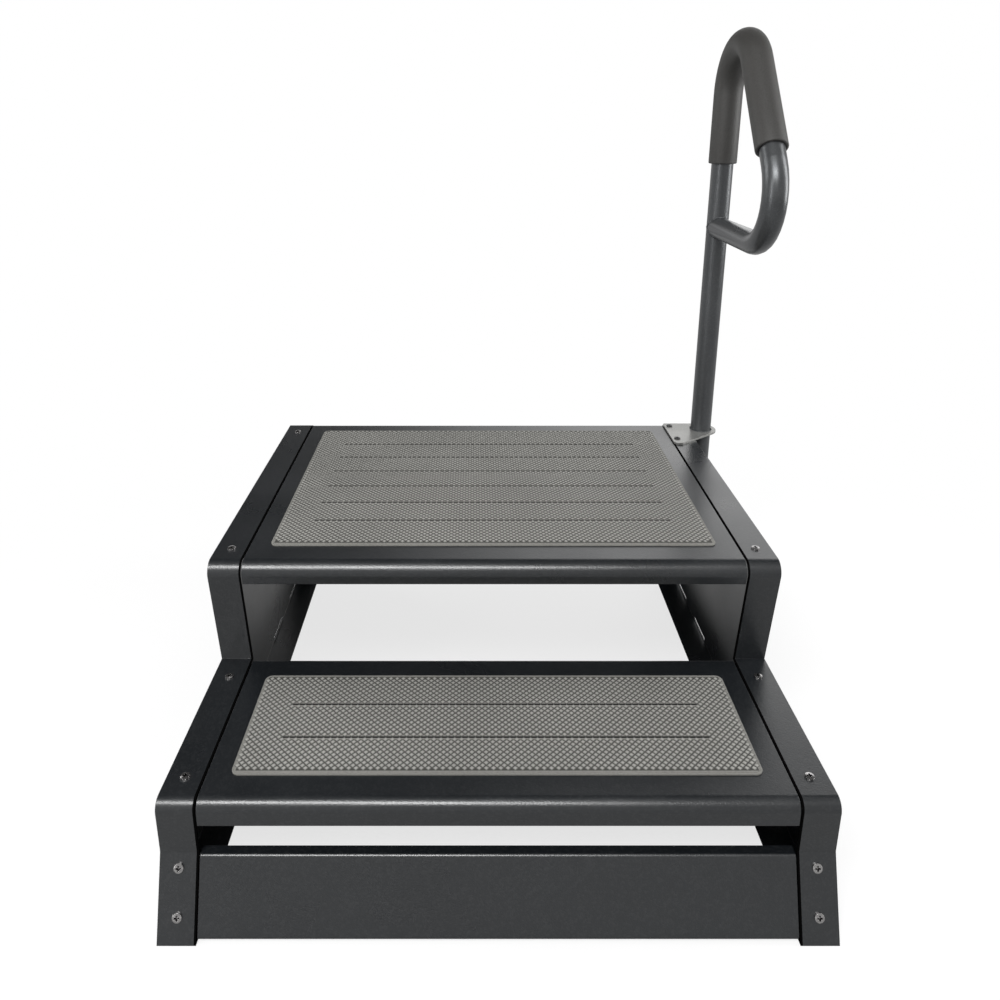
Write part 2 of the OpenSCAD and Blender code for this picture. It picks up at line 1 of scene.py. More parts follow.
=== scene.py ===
# %% [markdown]
# # A camper entry step
#
# Two folded steel treads stand between two side panels. Each tread carries a studded
# rubber mat, and a bent tube handrail with a foam sleeve stands at the right-hand side.
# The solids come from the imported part, in metres, so nothing here has to be fitted.
# This file dresses them: it smooths the bends of the sheet, grows the studs, wraps the
# foam, lays the weld beads, and gives each surface its finish.

import math

import bmesh
import bpy
from mathutils import Matrix, Vector


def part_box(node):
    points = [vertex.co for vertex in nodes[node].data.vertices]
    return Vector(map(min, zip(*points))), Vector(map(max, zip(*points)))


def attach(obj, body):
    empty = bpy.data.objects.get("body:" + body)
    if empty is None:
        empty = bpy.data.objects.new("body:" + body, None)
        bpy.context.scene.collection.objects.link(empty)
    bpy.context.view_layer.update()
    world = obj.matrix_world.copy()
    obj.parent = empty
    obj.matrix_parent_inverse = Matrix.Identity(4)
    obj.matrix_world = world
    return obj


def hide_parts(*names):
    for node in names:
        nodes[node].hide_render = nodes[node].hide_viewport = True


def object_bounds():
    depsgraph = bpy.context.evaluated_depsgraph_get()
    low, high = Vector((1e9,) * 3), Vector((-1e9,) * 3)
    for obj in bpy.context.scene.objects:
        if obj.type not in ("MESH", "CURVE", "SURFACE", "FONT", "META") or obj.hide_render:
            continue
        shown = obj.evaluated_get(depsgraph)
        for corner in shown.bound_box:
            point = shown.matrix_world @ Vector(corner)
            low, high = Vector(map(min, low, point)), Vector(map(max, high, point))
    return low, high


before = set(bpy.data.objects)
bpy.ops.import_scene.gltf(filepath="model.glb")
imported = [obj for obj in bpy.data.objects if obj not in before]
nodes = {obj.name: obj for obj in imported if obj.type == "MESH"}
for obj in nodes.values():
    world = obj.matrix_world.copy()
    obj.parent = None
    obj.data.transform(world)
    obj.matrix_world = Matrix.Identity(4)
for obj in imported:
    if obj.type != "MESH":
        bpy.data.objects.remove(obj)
cad_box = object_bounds()
scene = bpy.context.scene
print("parts:", len(nodes), "size in mm:", [round(1000 * s) for s in cad_box[1] - cad_box[0]])

# %% [markdown]
# ## The camera
#
# The picture was taken from just in front of the step, above the platform's height, so
# both treads show their tops and the upper one looks narrower. A wide lens close by
# gives the same strong perspective. The camera is tipped down, and a small shift lifts
# the step in the frame without tipping it further, which keeps the post nearly upright.

# %% Place the camera
CAMERA_AHEAD = 0.6025
CAMERA_HEIGHT = 0.763
CAMERA_TO_THE_LEFT = 0.0454
CAMERA_TILT = 16.458
LENS = 29.6
SHIFT = (0.0265, -0.135)

low = cad_box[0]
camera = bpy.data.objects.new("camera", bpy.data.cameras.new("camera"))
scene.collection.objects.link(camera)
camera.location = (-CAMERA_TO_THE_LEFT, low.y - CAMERA_AHEAD, CAMERA_HEIGHT)
camera.rotation_euler = (math.radians(90 - CAMERA_TILT), 0, 0)
camera.data.lens = LENS
camera.data.shift_x, camera.data.shift_y = SHIFT
scene.camera = camera
print("camera at", [round(v, 3) for v in camera.location])

# %% [markdown]
# ## Small helpers for node trees
#
# Materials and Geometry Nodes are both trees of nodes. A few helpers keep the recipes
# short. The first adds a node and fills its inputs, with a value or with a link from
# another node, and the second adds a sum. The others add what comes back often: a place
# split into x, y and z, a mix of two colours or of two numbers, and a ramp that turns one
# range of numbers into another. The last two open and close a group with named inputs.

# %% Node helpers
FLOAT = "NodeSocketFloat"


def add(tree, kind, inputs=None, **settings):
    made = tree.nodes.new(kind)
    for name, value in settings.items():
        setattr(made, name, value)
    for key, value in (inputs or {}).items():
        if isinstance(value, bpy.types.NodeSocket):
            tree.links.new(value, made.inputs[key])
        else:
            made.inputs[key].default_value = value
    return made


def calc(tree, operation, *values):
    return add(tree, "ShaderNodeMath", dict(enumerate(values)), operation=operation).outputs[0]


def split(tree, vector):
    return add(tree, "ShaderNodeSeparateXYZ", {0: vector}).outputs


def mix_colours(tree, share, first, second):
    return add(tree, "ShaderNodeMix", {0: share, 6: first, 7: second}, data_type="RGBA").outputs[2]


def mix_numbers(tree, share, first, second):
    return add(tree, "ShaderNodeMix", {0: share, 2: first, 3: second}, data_type="FLOAT").outputs[0]


def ramp(tree, value, from_range, to_range, curve="SMOOTHSTEP"):
    inputs = dict(enumerate((value, *from_range, *to_range)))
    return add(tree, "ShaderNodeMapRange", inputs, interpolation_type=curve).outputs[0]


def new_group(name, kind, inputs, outputs):
    tree = bpy.data.node_groups.new(name, kind)
    for label, socket, value in inputs:
        item = tree.interface.new_socket(label, in_out="INPUT", socket_type=socket)
        if value is not None:
            item.default_value = value
    for label, socket in outputs:
        tree.interface.new_socket(label, in_out="OUTPUT", socket_type=socket)
    return tree, tree.nodes.new("NodeGroupInput").outputs


def close_group(tree, results):
    add(tree, "NodeGroupOutput", results)
    print("group", tree.name, "has", len(tree.nodes), "nodes")
    return tree


# %% [markdown]
# ## The texture group
#
# Powder coat isn't smooth: the powder melts into tiny grains a millimetre or two across,
# which sparkle where a bend catches the light. Rubber and foam have grain of their own.
# One group makes such a grain at any size, so all the finishes share it. It gives a
# height for the bump, a mask for the lighter specks, and a cloud that changes slowly
# over the surface.

# %% The grain group
CELLS_PER_GRAIN = 0.8
CELL_REACH = 0.7
CELL_WEIGHT = 0.6
CLOUDS_PER_METRE = 7.0

grain_tree, given = new_group(
    "grain", "ShaderNodeTree",
    [("Vector", "NodeSocketVector", None), ("Grain Size", FLOAT, 0.001), ("Speck Share", FLOAT, 0.3)],
    [("Height", FLOAT), ("Speck", FLOAT), ("Cloud", FLOAT)],
)
per_metre = calc(grain_tree, "DIVIDE", 1.0, given["Grain Size"])
fine = add(grain_tree, "ShaderNodeTexNoise", {
    "Vector": given["Vector"], "Scale": per_metre, "Detail": 2.0, "Roughness": 0.6,
})
cell_scale = calc(grain_tree, "MULTIPLY", per_metre, CELLS_PER_GRAIN)
cells = add(grain_tree, "ShaderNodeTexVoronoi", {"Vector": given["Vector"], "Scale": cell_scale})
rounded = calc(grain_tree, "SUBTRACT", CELL_REACH, cells.outputs["Distance"])
height = calc(grain_tree, "MULTIPLY_ADD", rounded, CELL_WEIGHT, fine.outputs["Fac"])
chance = add(grain_tree, "ShaderNodeSeparateColor", {0: cells.outputs["Color"]}).outputs[0]
limit = calc(grain_tree, "SUBTRACT", 1.0, given["Speck Share"])
speck = calc(grain_tree, "GREATER_THAN", chance, limit)
cloud = add(grain_tree, "ShaderNodeTexNoise", {
    "Vector": given["Vector"], "Scale": CLOUDS_PER_METRE, "Detail": 4.0, "Roughness": 0.55,
})
close_group(grain_tree, {"Height": height, "Speck": speck, "Cloud": cloud.outputs["Fac"]})

# %% [markdown]
# ## One recipe for every finish
#
# Each finish is a Principled shader with its own colours, gloss, grain size and bump. Its
# tone and its roughness drift a little over the surface, as on sprayed and moulded
# things. The Bevel node rounds the cut edges of sheet by half a millimetre in the shading
# alone, which gives them the thin light line that a real edge has. Two more helpers
# change a finish later: one alters its colour, and one lays another shader over it.

# %% The finish recipe
CLOUD_RANGE = (0.3, 0.7)
TONE_RANGE = (0.92, 1.08)
GLOSS_DRIFT = 0.05


def finish(
    name, colour, speck_colour, roughness, grain, bump,
    metallic=0.0, specks=0.25, edge=0.0005, shine=0.5,
):
    made = bpy.data.materials.new(name)
    made.use_nodes = True
    tree = made.node_tree
    where = add(tree, "ShaderNodeTexCoord").outputs["Object"]
    inputs = {"Vector": where, "Grain Size": grain, "Speck Share": specks}
    group = add(tree, "ShaderNodeGroup", inputs, node_tree=grain_tree)
    cloud = group.outputs["Cloud"]
    mixed = mix_colours(tree, group.outputs["Speck"], (*colour, 1), (*speck_colour, 1))
    tone = ramp(tree, cloud, CLOUD_RANGE, TONE_RANGE, "LINEAR")
    tinted = add(tree, "ShaderNodeVectorMath", {0: mixed, "Scale": tone}, operation="SCALE")
    gloss_range = (roughness - GLOSS_DRIFT, roughness + GLOSS_DRIFT)
    gloss = ramp(tree, cloud, CLOUD_RANGE, gloss_range, "LINEAR")
    rounded_edge = add(tree, "ShaderNodeBevel", {"Radius": edge}, samples=4)
    bumped = add(tree, "ShaderNodeBump", {
        "Strength": 1.0, "Distance": bump,
        "Height": group.outputs["Height"], "Normal": rounded_edge.outputs[0],
    })
    shader = tree.nodes["Principled BSDF"]
    tree.links.new(tinted.outputs[0], shader.inputs["Base Color"])
    tree.links.new(gloss, shader.inputs["Roughness"])
    tree.links.new(bumped.outputs[0], shader.inputs["Normal"])
    shader.inputs["Metallic"].default_value = metallic
    shader.inputs["Specular IOR Level"].default_value = shine
    print("finish", name)
    return made


def alter_colour(tree, operation, inputs):
    base = tree.nodes["Principled BSDF"].inputs["Base Color"]
    inputs = {0: base.links[0].from_socket, **inputs}
    altered = add(tree, "ShaderNodeVectorMath", inputs, operation=operation)
    tree.links.new(altered.outputs[0], base)


def lay_over(tree, share, other):
    own = tree.nodes["Principled BSDF"].outputs[0]
    mixed = add(tree, "ShaderNodeMixShader", {0: share, 1: own, 2: other.outputs[0]})
    tree.links.new(mixed.outputs[0], tree.nodes["Material Output"].inputs["Surface"])


# %% [markdown]
# ## The finishes
#
# The sheet is coated in a satin near-black with a blue tinge, the tube in a lighter
# gunmetal, and the bracket in a lighter grey still. The sleeve is charcoal foam, the
# plug and the spacers are black nylon, and the screws are bright zinc, apart from the
# bracket's two black bolts. The mats' rubber is mixed further down.

# %% Mix the finishes
powder_coat = finish(
    "powder_coat", (0.0062, 0.0076, 0.0092), (0.0110, 0.0124, 0.0140),
    roughness=0.30, grain=0.0015, bump=0.00009, shine=0.85,
)
tube_coat = finish(
    "tube_coat", (0.066, 0.069, 0.072), (0.080, 0.083, 0.086),
    roughness=0.31, grain=0.0008, bump=0.00002, metallic=0.6,
)
bracket_coat = finish(
    "bracket_coat", (0.25, 0.25, 0.24), (0.30, 0.30, 0.29),
    roughness=0.36, grain=0.0008, bump=0.00002, metallic=0.6,
)
zinc = finish(
    "zinc", (0.38, 0.37, 0.37), (0.50, 0.49, 0.48),
    roughness=0.20, grain=0.0006, bump=0.00002, metallic=1.0, edge=0.0002,
)
black_oxide = finish(
    "black_oxide", (0.055, 0.056, 0.058), (0.08, 0.08, 0.08),
    roughness=0.30, grain=0.0006, bump=0.00001, metallic=0.6, edge=0.0002,
)
nylon = finish(
    "nylon", (0.016, 0.016, 0.017), (0.022, 0.022, 0.022),
    roughness=0.55, grain=0.0009, bump=0.00002,
)
foam = finish(
    "foam", (0.031, 0.030, 0.028), (0.024, 0.023, 0.021),
    roughness=0.55, grain=0.0008, bump=0.00010, specks=0.35,
)

# %% [markdown]
# ## The seams beside the strips
#
# Each tread and the toe board end in a narrow gap beside the strips of the side panels.
# A strip's cut edge falls away into shade there, so the gap looks wider than it is. The
# coat turns black over the gap and over the first two millimetres of the strip. The
# upper mat's width tells where the strips begin, 25 mm outside it.

# %% Shade the seams
MAT_TO_STRIP = 0.025
SHADE_ON_GAP = 0.0010
SHADE_ON_STRIP = 0.0022
SHADE_COLOUR = (0.002, 0.002, 0.002, 1)

mat_low, mat_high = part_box("upper_mat")
middle_x = (mat_low.x + mat_high.x) / 2
to_strip = (mat_high.x - mat_low.x) / 2 + MAT_TO_STRIP
to_shade = to_strip + (SHADE_ON_STRIP - SHADE_ON_GAP) / 2
shade_half = (SHADE_ON_STRIP + SHADE_ON_GAP) / 2

tree = powder_coat.node_tree
place = split(tree, add(tree, "ShaderNodeTexCoord").outputs["Object"])
off_middle = calc(tree, "ABSOLUTE", calc(tree, "SUBTRACT", place[0], middle_x))
off_shade = calc(tree, "ABSOLUTE", calc(tree, "SUBTRACT", off_middle, to_shade))
in_shade = calc(tree, "LESS_THAN", off_shade, shade_half)
lay_over(tree, in_shade, add(tree, "ShaderNodeBsdfDiffuse", {"Color": SHADE_COLOUR}))
print("the strips begin", round(1000 * to_strip, 1), "mm from the middle")

# %% [markdown]
# ## The cross in each screw
#
# The recess of a cross-head screw looks dark, because little light gets into it. The
# ambient occlusion node finds such places, within two millimetres and on the screw alone.

# %% Darken the recesses
RECESS_REACH = 0.002
RECESS_POWER = 4.0

tree = zinc.node_tree
open_sky = add(tree, "ShaderNodeAmbientOcclusion", {"Distance": RECESS_REACH}, samples=8, only_local=True)
darkening = calc(tree, "POWER", open_sky.outputs["AO"], RECESS_POWER)
alter_colour(tree, "SCALE", {"Scale": darkening})
print("recess shading added to", zinc.name)

# %% [markdown]
# ## Sheet, tube and small parts
#
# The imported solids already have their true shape, but they arrive as loose triangles, so
# their bends would look faceted. A copy is merged, and triangles that lie in one plane
# count as one flat. Each corner then takes the direction of the flats that meet there
# within 30 degrees, and the largest rules, so a flat stays flat right up to its bend.
# The tube has no flats to keep, so there each face counts by its angle at the corner.

# %% Directions for smooth bends
SHARP = math.radians(30)
FLAT = math.radians(0.5)


def flat_areas(bm):
    areas = [0.0] * len(bm.faces)
    done = set()
    for start in bm.faces:
        if start in done:
            continue
        done.add(start)
        flat, waiting = [], [start]
        while waiting:
            face = waiting.pop()
            flat.append(face)
            for edge in face.edges:
                for other in edge.link_faces:
                    if other not in done and other.normal.dot(face.normal) > math.cos(FLAT):
                        done.add(other)
                        waiting.append(other)
        total = sum(face.calc_area() for face in flat)
        for face in flat:
            areas[face.index] = total
    return areas


def corner_directions(bm, keep_flats):
    areas = flat_areas(bm)
    directions = []
    for face in bm.faces:
        for corner in face.loops:
            near = [c for c in corner.vert.link_loops if c.face.normal.dot(face.normal) > math.cos(SHARP)]
            shares = [areas[c.face.index] ** 2 if keep_flats else c.calc_angle() for c in near]
            total = sum((share * c.face.normal for share, c in zip(shares, near)), Vector())
            directions.append(total.normalized())
    return directions


# %% Smooth the folded parts and the tube
MERGE_DISTANCE = 0.000005
FOLDED = (
    "side_panel_left", "side_panel_right", "upper_platform", "lower_tread", "toe_board",
    "platform_stiffeners", "tread_stiffener",
)


def smoothed(node, material, keep_flats=True):
    bm = bmesh.new()
    bm.from_mesh(nodes[node].data)
    bmesh.ops.remove_doubles(bm, verts=bm.verts, dist=MERGE_DISTANCE)
    bm.normal_update()
    bm.faces.index_update()
    directions = corner_directions(bm, keep_flats)
    mesh = bpy.data.meshes.new(node + "_dressed")
    bm.to_mesh(mesh)
    bm.free()
    mesh.polygons.foreach_set("use_smooth", [True] * len(mesh.polygons))
    mesh.normals_split_custom_set(directions)
    mesh.materials.clear()
    mesh.materials.append(material)
    made = bpy.data.objects.new(node + "_dressed", mesh)
    scene.collection.objects.link(made)
    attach(made, "root")
    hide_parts(node)


for name in FOLDED:
    smoothed(name, powder_coat)
smoothed("handrail_tube", tube_coat, keep_flats=False)
smoothed("post_bracket", bracket_coat)
print("smoothed:", len(FOLDED) + 2)

# %% Finish the solids that stay as they are
def paint(names, material):
    for name in names:
        mesh = nodes[name].data
        mesh.materials.clear()
        mesh.materials.append(material)
    print(material.name, "on", len(names), "parts")


paint(("post_end_plug", "post_spacers"), nylon)
paint(("bracket_bolts",), black_oxide)
paint([n for n in nodes if n.endswith(("_screws", "_nuts")) or n == "post_bolts"], zinc)

# %% [markdown]
# ## The mats' sheet
#
# Under the studs the sheet is painted dark, as painted shade with some dust, and the
# floor of each groove is painted near-black as painted shade. The thin rim and the plain
# strips along the grooves have the rubber's own warm grey. The distance to the edge and
# to the nearest groove tells which is which.

# %% Colour the mats
RIM = 0.0042
GROOVE_PITCH = 0.051
GROOVE_HALF = 0.0013
STRIP_HALF = 0.0036
GROOVE_MARGIN = 0.040
# The valley colour is painted shade with some dust; the groove colour is painted shade.
VALLEY_SHADE_AND_DUST = (0.044, 0.043, 0.038, 1)
GROOVE_SHADE_COLOUR = (0.004, 0.004, 0.004, 1)
PLAIN_COLOUR = (0.185, 0.182, 0.168, 1)


def mat_material(node):
    mat_low, mat_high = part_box(node)
    made = finish(
        node + "_sheet", (1, 1, 1), (0.90, 0.90, 0.90),
        roughness=0.72, grain=0.0012, bump=0.00004,
    )
    tree = made.node_tree
    place = split(tree, add(tree, "ShaderNodeTexCoord").outputs["Object"])
    off_centre, inward = [], []
    for axis in (0, 1):
        centre = (mat_low[axis] + mat_high[axis]) / 2
        half = (mat_high[axis] - mat_low[axis]) / 2
        off_centre.append(calc(tree, "SUBTRACT", place[axis], centre))
        inward.append(calc(tree, "SUBTRACT", half, calc(tree, "ABSOLUTE", off_centre[axis])))
    rim = calc(tree, "LESS_THAN", calc(tree, "MINIMUM", *inward), RIM)
    along_pitch = calc(tree, "FLOORED_MODULO", off_centre[1], GROOVE_PITCH)
    to_groove = calc(tree, "ABSOLUTE", calc(tree, "SUBTRACT", along_pitch, GROOVE_PITCH / 2))
    clear_ends = calc(tree, "GREATER_THAN", inward[0], GROOVE_MARGIN)
    clear_edges = calc(tree, "GREATER_THAN", inward[1], GROOVE_PITCH / 2)
    grooved = calc(tree, "MULTIPLY", clear_ends, clear_edges)
    in_groove = calc(tree, "MULTIPLY", grooved, calc(tree, "LESS_THAN", to_groove, GROOVE_HALF))
    near_groove = calc(tree, "MULTIPLY", grooved, calc(tree, "LESS_THAN", to_groove, STRIP_HALF))
    plain = calc(tree, "MAXIMUM", rim, calc(tree, "SUBTRACT", near_groove, in_groove))
    # Painted shade in the valleys between the studs and on the groove floors.
    sunk_shade = mix_colours(tree, in_groove, VALLEY_SHADE_AND_DUST, GROOVE_SHADE_COLOUR)
    alter_colour(tree, "MULTIPLY", {1: mix_colours(tree, plain, sunk_shade, PLAIN_COLOUR)})
    return made


for name in ("upper_mat", "lower_mat"):
    paint((name,), mat_material(name))

# %% [markdown]
# ## The studs on the mats
#
# Each mat is covered in thousands of small pyramids, set corner to corner, so their edges
# run at 45 degrees. The rows stop short of the grooves and of the plain rim. A Geometry
# Nodes tree sets out two grids, one shifted by half a step, keeps the points that lie on
# the mat and off the grooves, and puts one small mesh on each. That mesh stores how high
# up the stud a point is, because the colour is painted shade at the foot, with some dust,
# and grows lighter towards the tip.

# %% The stud's rubber
# The foot colour is painted shade with some dust; up the stud it lightens to the tip colour.
FOOT_SHADE_COLOUR = (0.018, 0.017, 0.015, 1)
TIP_COLOUR = (0.300, 0.297, 0.277, 1)
TIP_POWER = 1.7

rubber = finish(
    "stud_rubber", (1, 1, 1), (0.93, 0.93, 0.93),
    roughness=0.50, grain=0.0012, bump=0.00003, edge=0.0002,
)
tree = rubber.node_tree
rise = add(tree, "ShaderNodeAttribute", attribute_name="stud_rise").outputs["Fac"]
# Painted shade: dark at the foot of each stud, lighter towards the tip.
out_of_shade = calc(tree, "POWER", rise, TIP_POWER)
alter_colour(tree, "MULTIPLY", {1: mix_colours(tree, out_of_shade, FOOT_SHADE_COLOUR, TIP_COLOUR)})

# %% One stud
STUD_HEIGHT = 0.0009
FOOT_HALF = 0.0034
TIP_HALF = 0.0016
WAIST_WIDTH = 0.80
WAIST_HEIGHT = 0.58
CORNERS = ((1, 0), (0, 1), (-1, 0), (0, -1))


def stud_mesh():
    waist = (WAIST_WIDTH * FOOT_HALF, WAIST_HEIGHT * STUD_HEIGHT)
    rings = [(FOOT_HALF, 0.0), waist, (TIP_HALF, STUD_HEIGHT)]
    points = [(r * x, r * y, z) for r, z in rings for x, y in CORNERS]
    faces = [(a + k, a + (k + 1) % 4, a + 4 + (k + 1) % 4, a + 4 + k) for a in (0, 4) for k in range(4)]
    mesh = bpy.data.meshes.new("stud")
    mesh.from_pydata(points, [], faces + [(8, 9, 10, 11)])
    rise = mesh.attributes.new("stud_rise", "FLOAT", "POINT")
    rise.data.foreach_set("value", [z / STUD_HEIGHT for _, _, z in points])
    made = bpy.data.objects.new("stud", mesh)
    scene.collection.objects.link(made)
    made.hide_render = True
    return made


stud = stud_mesh()
print("one stud has", len(stud.data.polygons), "faces")

# %% Helpers for the Geometry Nodes trees
GEOMETRY = "NodeSocketGeometry"
MATERIAL = "NodeSocketMaterial"


def new_geometry_tree(name, inputs):
    inputs = [("Geometry", GEOMETRY, None), *inputs, ("Material", MATERIAL, None)]
    return new_group(name, "GeometryNodeTree", inputs, [("Geometry", GEOMETRY)])


def close_geometry_tree(tree, given, geometry):
    solid = add(tree, "GeometryNodeRealizeInstances", {0: geometry})
    soft = add(tree, "GeometryNodeSetShadeSmooth", {"Geometry": solid.outputs[0]})
    inputs = {"Geometry": soft.outputs[0], "Material": given["Material"]}
    painted = add(tree, "GeometryNodeSetMaterial", inputs)
    return close_group(tree, {"Geometry": painted.outputs[0]})


def join(tree, parts):
    joined = add(tree, "GeometryNodeJoinGeometry")
    for part in parts:
        tree.links.new(part, joined.inputs[0])
    return joined.outputs[0]


def run_tree(work, tree, values):
    modifier = work.modifiers.new(tree.name, "NODES")
    modifier.node_group = tree
    for item in tree.interface.items_tree:
        if item.in_out == "INPUT" and item.name in values:
            modifier[item.identifier] = values[item.name]


def plain_mesh(work, name):
    bpy.context.view_layer.update()
    ready = work.evaluated_get(bpy.context.evaluated_depsgraph_get())
    mesh = bpy.data.meshes.new_from_object(ready)
    mesh.name = name
    made = bpy.data.objects.new(name, mesh)
    scene.collection.objects.link(made)
    bpy.data.objects.remove(work)
    return made


# %% [markdown]
# The stud tree has three parts. Both grids share one recipe. A point is on the mat when
# it lies inside the rim, whose corners are round, and it is in a groove when it is near
# one across the mat and not beyond its ends.

# %% Where the studs stand
EDGE_SLACK = 0.0001


def shifted_grid(tree, given, halves, shift):
    step = calc(tree, "MULTIPLY", given["Row Step"], 2.0)
    sizes, counts = [], []
    for half in halves:
        steps = calc(tree, "CEIL", calc(tree, "DIVIDE", half, step))
        sizes.append(calc(tree, "MULTIPLY", calc(tree, "MULTIPLY", steps, 2.0), step))
        counts.append(calc(tree, "MULTIPLY_ADD", steps, 2.0, 1.0))
    grid = add(tree, "GeometryNodeMeshGrid", {
        "Size X": sizes[0], "Size Y": sizes[1], "Vertices X": counts[0], "Vertices Y": counts[1],
    })
    off = calc(tree, "MULTIPLY", given["Row Step"], shift)
    move = add(tree, "ShaderNodeCombineXYZ", {0: off, 1: off})
    inputs = {"Geometry": grid.outputs[0], "Translation": move.outputs[0]}
    return add(tree, "GeometryNodeTransform", inputs).outputs[0]


def inside_rim(tree, given, halves, off_centre):
    squares = []
    for half, off in zip(halves, off_centre):
        past = calc(tree, "ADD", calc(tree, "SUBTRACT", off, half), given["Corner"])
        past = calc(tree, "MAXIMUM", past, 0.0)
        squares.append(calc(tree, "MULTIPLY", past, past))
    distance = calc(tree, "SQRT", calc(tree, "ADD", *squares))
    return calc(tree, "LESS_THAN", distance, calc(tree, "ADD", given["Corner"], EDGE_SLACK))


def in_a_groove(tree, given, along, off_centre):
    half_pitch = calc(tree, "DIVIDE", given["Groove Pitch"], 2.0)
    along_pitch = calc(tree, "FLOORED_MODULO", along, given["Groove Pitch"])
    to_groove = calc(tree, "ABSOLUTE", calc(tree, "SUBTRACT", along_pitch, half_pitch))
    near = calc(tree, "LESS_THAN", to_groove, given["Groove Clear"])
    half_count = calc(tree, "DIVIDE", given["Groove Count"], 2.0)
    last_row = calc(tree, "MULTIPLY", given["Groove Pitch"], half_count)
    among_rows = calc(tree, "LESS_THAN", off_centre[1], last_row)
    half_width = calc(tree, "DIVIDE", given["Width"], 2.0)
    end_margin = calc(tree, "SUBTRACT", given["Groove Margin"], given["Groove Clear"])
    before_end = calc(tree, "LESS_THAN", off_centre[0], calc(tree, "SUBTRACT", half_width, end_margin))
    return calc(tree, "MULTIPLY", calc(tree, "MULTIPLY", near, among_rows), before_end)


# %% The stud field tree
def stud_field():
    tree, given = new_geometry_tree("stud_field", [
        ("Width", FLOAT, 0.5), ("Depth", FLOAT, 0.3), ("Row Step", FLOAT, 0.00364),
        ("Rim", FLOAT, 0.0045), ("Corner", FLOAT, 0.008),
        ("Groove Pitch", FLOAT, GROOVE_PITCH), ("Groove Count", FLOAT, 6.0),
        ("Groove Margin", FLOAT, GROOVE_MARGIN), ("Groove Clear", FLOAT, 0.0018),
        ("Stud", "NodeSocketObject", None),
    ])
    halves = []
    for size in ("Width", "Depth"):
        halves.append(calc(tree, "SUBTRACT", calc(tree, "DIVIDE", given[size], 2.0), given["Rim"]))
    grids = join(tree, [shifted_grid(tree, given, halves, shift) for shift in (0.0, 1.0)])
    place = split(tree, add(tree, "GeometryNodeInputPosition").outputs[0])
    off_centre = [calc(tree, "ABSOLUTE", place[axis]) for axis in (0, 1)]
    on_mat = inside_rim(tree, given, halves, off_centre)
    in_groove = in_a_groove(tree, given, place[1], off_centre)
    keep = calc(tree, "MULTIPLY", on_mat, calc(tree, "SUBTRACT", 1.0, in_groove))
    source = add(tree, "GeometryNodeObjectInfo", {"Object": given["Stud"]})
    spread = add(tree, "GeometryNodeInstanceOnPoints", {
        "Points": grids, "Selection": keep, "Instance": source.outputs["Geometry"],
    })
    return close_geometry_tree(tree, given, spread.outputs[0])


stud_tree = stud_field()

# %% Grow the studs
ROWS_PER_PITCH = 14
STUD_SINK = 0.00005
GROOVES = {"upper_mat": 6.0, "lower_mat": 2.0}

for name, count in GROOVES.items():
    mat_low, mat_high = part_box(name)
    work = bpy.data.objects.new(name + "_field", bpy.data.meshes.new(name + "_field"))
    scene.collection.objects.link(work)
    run_tree(work, stud_tree, {
        "Width": mat_high.x - mat_low.x, "Depth": mat_high.y - mat_low.y,
        "Row Step": GROOVE_PITCH / ROWS_PER_PITCH, "Groove Count": count,
        "Stud": stud, "Material": rubber,
    })
    field = plain_mesh(work, name + "_studs")
    middle = (mat_low + mat_high) / 2
    field.data.transform(Matrix.Translation((middle.x, middle.y, mat_high.z - STUD_SINK)))
    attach(field, "root")
    print(field.name, "triangles:", sum(len(p.vertices) - 2 for p in field.data.polygons))
bpy.data.objects.remove(stud)

# %% [markdown]
# ## The foam sleeve
#
# The sleeve is a closed-cell foam tube, pushed over the post's top, round the upper bend
# and down the front leg. Its shape follows the tube's centre line, so the tree takes that
# line with a radius at each point and sweeps a circle along it. The ends are rounded by
# letting the radius shrink over the last two millimetres, and an inner wall closes them.

# %% The handrail's centre line
TUBE_R = 0.016
BEND_R = 0.065
LOOP_LOW = 0.609

plug_low, plug_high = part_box("post_end_plug")
tube_low, tube_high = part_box("handrail_tube")
post_x = (plug_low.x + plug_high.x) / 2
post_y = (plug_low.y + plug_high.y) / 2
loop_top = tube_high.z - TUBE_R
reach = post_y - TUBE_R - tube_low.y
top_centre = Vector((BEND_R, loop_top - BEND_R))
low_centre = Vector((reach - BEND_R, LOOP_LOW + BEND_R))
slope = math.atan2(low_centre.y - top_centre.y, low_centre.x - top_centre.x)
leg_dir = Vector((math.cos(slope), math.sin(slope)))
leg_normal = Vector((-leg_dir.y, leg_dir.x))
leg_length = (low_centre - top_centre).length
print("leg slopes", round(math.degrees(slope), 1), "degrees")

# %% The sleeve's path
BEND_STEPS = 30
STRAIGHT_BELOW_BEND = 0.03
GRIP_FRONT_GAP = 0.020
LEG_SHARES = (0.25, 0.5, 0.75, 1.0)

grip_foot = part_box("foam_grip")[0].z
path = [Vector((0, grip_foot)), Vector((0, top_centre.y - STRAIGHT_BELOW_BEND))]
first_angle = math.pi
last_angle = slope + math.pi / 2
for i in range(BEND_STEPS + 1):
    angle = first_angle + (last_angle - first_angle) * i / BEND_STEPS
    path.append(top_centre + BEND_R * Vector((math.cos(angle), math.sin(angle))))
leg_start = top_centre + BEND_R * leg_normal
for share in LEG_SHARES:
    path.append(leg_start + share * (leg_length - GRIP_FRONT_GAP) * leg_dir)
print("the path has", len(path), "points")

# %% Its rounded ends
GRIP_R = 0.02048
GRIP_BORE_R = 0.0163
END_ROUND = 0.002
END_TURNS = (0.0, 0.35, 0.75, 1.2, math.pi / 2)
NUDGE = 0.00001


def in_loop(forward, up):
    return Vector((post_x, post_y - forward, up))


